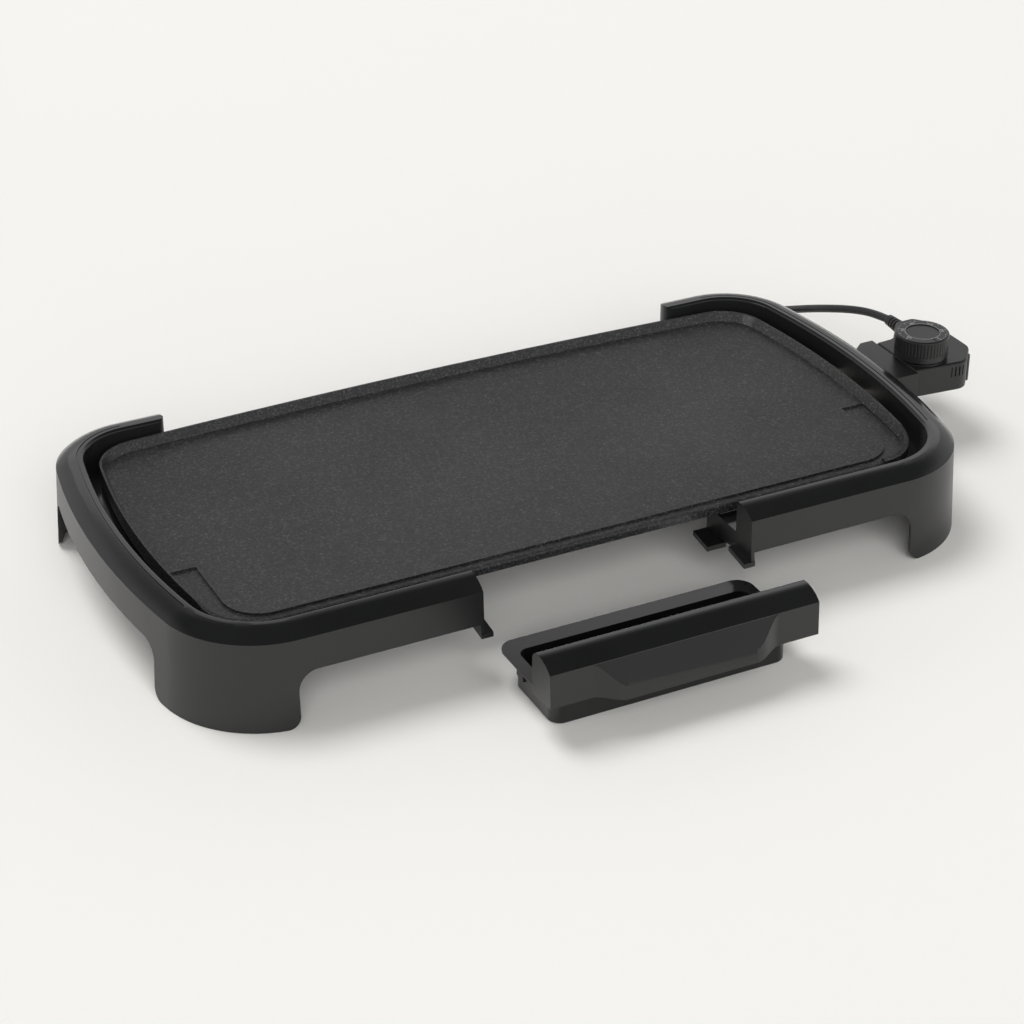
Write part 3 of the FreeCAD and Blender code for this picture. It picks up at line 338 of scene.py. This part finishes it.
# %% [markdown]
# ## The floor
#
# The floor is not part of the object, so it is handed to the stage. It is plain on purpose: a faint
# drift in its tone is enough to keep it from looking cut out of paper.

# %% The floor
REACH = 14.0            # from the middle to each side of the floor
FLOOR_BELOW = 0.0004    # a hair under the legs, so that no two faces lie in one plane
floor_mesh = bpy.data.meshes.new("studio_floor")
floor_mesh.from_pydata([(-REACH, -REACH, 0), (REACH, -REACH, 0), (REACH, REACH, 0), (-REACH, REACH, 0)],
                       [], [(0, 1, 2, 3)])
floor = bpy.data.objects.new("studio_floor", floor_mesh)
floor.location.z = -FLOOR_BELOW
scene.collection.objects.link(floor)
paper = Finish("floor_paper")
paper.link(paper.ramp(paper.noise(0.7), (0.3, (0.862, 0.853, 0.822)), (0.7, (0.878, 0.869, 0.838))),
           paper.shader.inputs["Base Color"])
paper.set(Roughness=0.85, Specular_IOR_Level=0.1)
floor_mesh.materials.append(paper.material)
print("floor laid")

# %% [markdown]
# ## The plate's coating
#
# The plate is an aluminium casting with a sprayed non-stick coating. Up close such a coating is
# fine orange peel with a few larger specks. It is grey rather than black, because its roughness
# spreads the light of the whole room over it. A cell noise gives the peel, a slower noise makes the
# sheen uneven, and both stay very shallow. On the slopes of the rim and the channels the sprayed film
# runs smooth, so there both the peel and the roughness fall away and a bright line can form.

# %% Non-stick coating
coating = Finish("nonstick_coating")
peel = coating.node("ShaderNodeTexVoronoi", feature="SMOOTH_F1")
peel.inputs["Scale"].default_value = 520.0
coating.link(coating.place, peel.inputs["Vector"])
grain = coating.noise(1500.0, 3.0, 0.6)
coating.link(coating.ramp(coating.noise(620.0, 3.0, 0.65), (0.36, (0.013, 0.013, 0.0135)),
                          (0.56, (0.025, 0.025, 0.026)), (0.72, (0.085, 0.085, 0.087))),
             coating.shader.inputs["Base Color"])
flatness = coating.node("ShaderNodeSeparateXYZ")
coating.link(coating.node("ShaderNodeTexCoord").outputs["Normal"], flatness.inputs["Vector"])
texture = coating.bump(coating.add(peel.outputs["Distance"], grain), 0.00012)
coating.link(coating.between(flatness.outputs["Z"], 0.86, 0.995, 0.12, 0.80), texture.inputs["Strength"])
coating.link(coating.add(coating.between(flatness.outputs["Z"], 0.86, 0.995, 0.20, 0.48),
                         coating.between(coating.noise(6.0, 3.0), 0.3, 0.7, -0.04, 0.04)),
             coating.shader.inputs["Roughness"])
coating.set(Specular_IOR_Level=0.5)
print("coating nodes:", len(coating.tree.nodes))

# %% [markdown]
# ## The shells' plastic
#
# Both ends are one moulding each, but only the faces that look up came from a polished part of the
# mould. The upright skirt was left satin, and so was the upright front of the tray. The direction of
# a face says which of the two it is, so one material can be both, with the change falling on the
# crease. The direction also sets the base tone. Upright faces get a painted tone, a little lighter than
# the tops (on the tray's tub a little darker), that stands in for the light and shade falling on them.
# A noise adds a faint drift to the tone and to the roughness, as thick mouldings have.


# %% Moulded black plastic
COOL_WHITE = (0.97, 0.99, 1.0)


def moulded(name, satin, gloss, tone=0.0085, upright_painted_light_tone=0.011, grain_depth=0.00002, turn=(0.16, 0.30)):
    """Black plastic: satin where a face is upright, glossy where it looks up; upright faces also get a
    painted tone for the light that falls on them.
    """
    finish = Finish(name)
    facing = finish.node("ShaderNodeSeparateXYZ")
    finish.link(finish.node("ShaderNodeTexCoord").outputs["Normal"], facing.inputs["Vector"])
    up = facing.outputs["Z"]
    rough = finish.between(up, *turn, satin, gloss)
    drift = finish.between(finish.noise(9.0, 3.0), 0.3, 0.7, -0.02, 0.02)
    finish.link(finish.add(rough, drift), finish.shader.inputs["Roughness"])
    finish.bump(finish.noise(1300.0, 2.0), grain_depth, 0.4)
    mottle = finish.between(finish.noise(14.0, 2.0), 0.3, 0.7, -0.0008, 0.0008)
    # Painted light: upright faces get their own tone, lighter or darker than the tops, standing in for how
    # light falls on them; the mottle is a random drift of tone.
    painted_light_tone_and_mottle = finish.add(finish.between(up, *turn, upright_painted_light_tone, tone), mottle)
    finish.link(finish.ramp(painted_light_tone_and_mottle, (0.0, 0.0), (1.0, COOL_WHITE)), finish.shader.inputs["Base Color"])
    finish.set(Specular_IOR_Level=0.5)
    return finish


shell_plastic = moulded("shell_plastic", 0.34, 0.13)
tray_front_plastic = moulded("tray_front_plastic", 0.32, 0.13)
tray_tub_plastic = moulded("tray_tub_plastic", 0.20, 0.12, upright_painted_light_tone=0.008)
control_plastic = moulded("control_plastic", 0.42, 0.34, tone=0.009, grain_depth=0.00004)
print("materials with the plastics:", len(bpy.data.materials))

# %% [markdown]
# ## Metals, ceramic, rubber and the rest
#
# These are small or hidden pieces: pins, the probe, the element's sheath, bushes, screws, the plug's
# blades. They still get a finish of their own, because the part is looked at from below and with
# its control pulled out. A brushed metal needs its scratches to run one way, so its noise is
# stretched along one axis.


# %% Metals
def metal(name, colour, low, high, stretch, scale=900.0):
    """Bare metal with fine marks; stretch says along which axis they are long."""
    finish = Finish(name)
    mapping = finish.node("ShaderNodeMapping")
    mapping.inputs["Scale"].default_value = stretch
    finish.link(finish.place, mapping.inputs["Vector"])
    marks = finish.node("ShaderNodeTexNoise")
    marks.inputs["Scale"].default_value = scale
    marks.inputs["Detail"].default_value = 4.0
    finish.link(mapping.outputs["Vector"], marks.inputs["Vector"])
    finish.link(finish.between(marks.outputs["Fac"], 0.3, 0.7, low, high),
                finish.shader.inputs["Roughness"])
    finish.bump(marks.outputs["Fac"], 0.00001, 0.4)
    dark = tuple(c * 0.82 for c in colour)
    finish.link(finish.ramp(finish.noise(60.0, 3.0), (0.35, dark), (0.65, colour)),
                finish.shader.inputs["Base Color"])
    finish.set(Metallic=1.0)
    return finish


sheath = metal("sheath_steel", (0.30, 0.28, 0.26), 0.38, 0.60, (0.05, 1.0, 1.0))
plated = metal("plated_steel", (0.66, 0.65, 0.62), 0.16, 0.30, (0.04, 1.0, 1.0))
zinc = metal("zinc_steel", (0.48, 0.48, 0.47), 0.28, 0.45, (1.0, 1.0, 1.0))
brass = metal("contact_brass", (0.78, 0.60, 0.28), 0.18, 0.32, (0.1, 1.0, 1.0))
print("materials with the metals:", len(bpy.data.materials))


# %% Ceramic, rubber, lens and tie
def simple(name, low, high, rough, grain, depth):
    """A non-metal with an uneven tone and a fine grain."""
    finish = Finish(name)
    finish.link(finish.ramp(finish.noise(120.0, 3.0), (0.35, low), (0.65, high)),
                finish.shader.inputs["Base Color"])
    finish.link(finish.between(finish.noise(40.0, 2.0), 0.3, 0.7, rough - 0.04, rough + 0.04),
                finish.shader.inputs["Roughness"])
    finish.bump(finish.noise(grain, 3.0), depth, 0.5)
    return finish


ceramic = simple("ceramic", (0.70, 0.67, 0.60), (0.80, 0.77, 0.70), 0.55, 1600.0, 0.00003)
rubber = simple("cord_rubber", (0.011, 0.011, 0.012), (0.017, 0.017, 0.018), 0.42, 1100.0, 0.00003)
tie = simple("tie_plastic", (0.02, 0.02, 0.021), (0.03, 0.03, 0.032), 0.35, 900.0, 0.00003)
lens = simple("lens_plastic", (0.42, 0.11, 0.04), (0.55, 0.16, 0.06), 0.12, 500.0, 0.00001)
lens.set(Coat_Weight=0.4, Coat_Roughness=0.05)
print("materials with the small finishes:", len(bpy.data.materials))

# %% [markdown]
# ## Giving each part its finish
#
# A part keeps the mesh that it came with. Its material slots are emptied and filled again, and
# modifiers do the rest: a weld joins the points that the file format keeps apart, a narrow bevel
# gives each sharp edge the small radius that a mould or a press leaves, a split keeps hard corners
# hard, and weighted normals keep the broad faces flat. A bevel is what makes an edge catch the light.

# %% Materials and edges on every part
FINISHES = {
    "griddle_plate": (coating, 0.35),
    "left_shell": (shell_plastic, 0.30), "right_shell": (shell_plastic, 0.30),
    "socket_shroud": (control_plastic, 0.5),
    "tray_tub": (tray_tub_plastic, 0.35), "tray_front": (tray_front_plastic, 0.35),
    "control_base": (control_plastic, 0.25), "control_cover": (control_plastic, 0.25),
    "knob": (control_plastic, 0.15),
    "heating_element": (sheath, 0.0), "element_clamps": (sheath, 0.2),
    "terminal_front": (plated, 0.1), "terminal_back": (plated, 0.1),
    "sensor_probe": (plated, 0.0), "knob_shaft": (plated, 0.1),
    "shell_screws": (zinc, 0.1), "control_screws": (zinc, 0.1),
    "insulator_front": (ceramic, 0.2), "insulator_back": (ceramic, 0.2),
    "thermostat_block": (ceramic, 0.3),
    "receptacle_front": (brass, 0.1), "receptacle_back": (brass, 0.1), "plug_blades": (brass, 0.15),
    "strain_relief": (rubber, 0.2), "plug_body": (rubber, 0.5),
    "cord_tie": (tie, 0.1), "pilot_lens": (lens, 0.2),
}


WELD_DISTANCE = 0.000005
BEVEL_ANGLE, SPLIT_ANGLE = 32, 34       # degrees between two faces
BEVEL_SEGMENTS, NORMAL_WEIGHT = 2, 60


def dress(node, finish, radius):
    """Give a part its material, smooth faces and rounded edges; radius is in millimetres."""
    part = nodes[node]
    part.data.materials.clear()
    part.data.materials.append(finish.material)
    if "custom_normal" in part.data.attributes:
        part.data.attributes.remove(part.data.attributes["custom_normal"])
    part.data.polygons.foreach_set("use_smooth", [True] * len(part.data.polygons))
    weld = part.modifiers.new("weld", "WELD")
    weld.merge_threshold = WELD_DISTANCE
    if radius:
        bevel = part.modifiers.new("edge", "BEVEL")
        bevel.width = radius / 1000
        bevel.segments = BEVEL_SEGMENTS
        bevel.limit_method = "ANGLE"
        bevel.angle_limit = math.radians(BEVEL_ANGLE)
        bevel.use_clamp_overlap = True
        bevel.harden_normals = False
    split = part.modifiers.new("split", "EDGE_SPLIT")
    split.split_angle = math.radians(SPLIT_ANGLE)
    split.use_edge_sharp = False
    weighted = part.modifiers.new("weighted", "WEIGHTED_NORMAL")
    weighted.keep_sharp = True
    weighted.weight = NORMAL_WEIGHT


for node, (finish, radius) in FINISHES.items():
    dress(node, finish, radius)
lead_curve.materials.append(rubber.material)
print("dressed parts:", len(FINISHES))

# %% [markdown]
# ## The print on the dial
#
# The dial has a pale printed ring of marks and numbers on its top. Print is nearly flat, so it is a
# thin mesh laid on the top face: short bars for the marks and the ring, and a few characters made
# from a text curve. Building it as geometry keeps it crisp from any angle.

# %% Printed marks
DIAL_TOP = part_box("knob")[1].z
INK_ABOVE, INK_BELOW = 0.00006, 0.00005     # from the top face to the two sides of a bar
print_vertices, print_faces = [], []


def lay_bar(inner, outer, half_width, angle):
    """A flat bar that points to the dial's centre."""
    start = len(print_vertices)
    c, s = math.cos(angle), math.sin(angle)
    for z in (DIAL_TOP - INK_BELOW, DIAL_TOP + INK_ABOVE):
        for r, w in ((inner, -half_width), (inner, half_width), (outer, half_width), (outer, -half_width)):
            print_vertices.append((dial_centre.x + r * c - w * s, dial_centre.y + r * s + w * c, z))
    for face in ((3, 2, 1, 0), (4, 5, 6, 7), (0, 1, 5, 4), (1, 2, 6, 5), (2, 3, 7, 6), (3, 0, 4, 7)):
        print_faces.append([start + i for i in face])


FIRST_MARK, MARK_STEP, MARKS = -75.0, 10.0, 28      # the first two in degrees
MARK_OUTER = 0.0189
LONG_INNER, LONG_HALF_WIDTH = 0.0172, 0.00022       # every third mark
SHORT_INNER, SHORT_HALF_WIDTH = 0.0180, 0.00013
for i in range(MARKS):
    inner, half_width = (SHORT_INNER, SHORT_HALF_WIDTH) if i % 3 else (LONG_INNER, LONG_HALF_WIDTH)
    lay_bar(inner, MARK_OUTER, half_width, math.radians(FIRST_MARK + MARK_STEP * i))
RING_STEPS = 72
RING_INNER, RING_OUTER, RING_HALF_WIDTH = 0.01318, 0.01342, 0.00060
for i in range(RING_STEPS):
    lay_bar(RING_INNER, RING_OUTER, RING_HALF_WIDTH, 2 * math.pi * i / RING_STEPS)
print("marks:", MARKS, "ring pieces:", RING_STEPS)


# %% Printed numbers
def lay_number(text, radius, angle, size):
    """A number that reads from outside the dial, added to the same print."""
    curve = bpy.data.curves.new("dial_text", "FONT")
    curve.body = text
    curve.size = size
    curve.align_x = "CENTER"
    curve.align_y = "CENTER"
    curve.resolution_u = 3
    holder = bpy.data.objects.new("dial_text", curve)
    scene.collection.objects.link(holder)
    bpy.context.view_layer.update()
    flat = bpy.data.meshes.new_from_object(holder.evaluated_get(bpy.context.evaluated_depsgraph_get()))
    turn = angle + math.pi / 2
    c, s = math.cos(turn), math.sin(turn)
    start = len(print_vertices)
    for v in flat.vertices:
        x = v.co.x * c - v.co.y * s + dial_centre.x + radius * math.cos(angle)
        y = v.co.x * s + v.co.y * c + dial_centre.y + radius * math.sin(angle)
        print_vertices.append((x, y, DIAL_TOP + INK_ABOVE))
    for polygon in flat.polygons:
        print_faces.append([start + i for i in polygon.vertices])
    bpy.data.objects.remove(holder)
    bpy.data.curves.remove(curve)
    bpy.data.meshes.remove(flat)


NUMBERS = ["0", "200", "250", "300", "350", "400"]
NUMBER_STEP, NUMBER_RADIUS, NUMBER_SIZE = 54.0, 0.0153, 0.0032     # the first in degrees
for i, number in enumerate(NUMBERS):
    lay_number(number, NUMBER_RADIUS, math.radians(FIRST_MARK + NUMBER_STEP * i), NUMBER_SIZE)
dial_print_mesh = bpy.data.meshes.new("dial_print")
dial_print_mesh.from_pydata(print_vertices, [], print_faces)
dial_print = bpy.data.objects.new("dial_print", dial_print_mesh)
scene.collection.objects.link(dial_print)
ink = simple("dial_ink", (0.42, 0.42, 0.41), (0.52, 0.52, 0.50), 0.5, 900.0, 0.00001)
dial_print_mesh.materials.append(ink.material)
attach(dial_print, "dial")
print("print vertices:", len(print_vertices))

# %% [markdown]
# ## Bring the scene up to date
#
# The view layer is updated once more, so that every part, modifier and curve above is evaluated.

# %% Update the scene
bpy.context.view_layer.update()
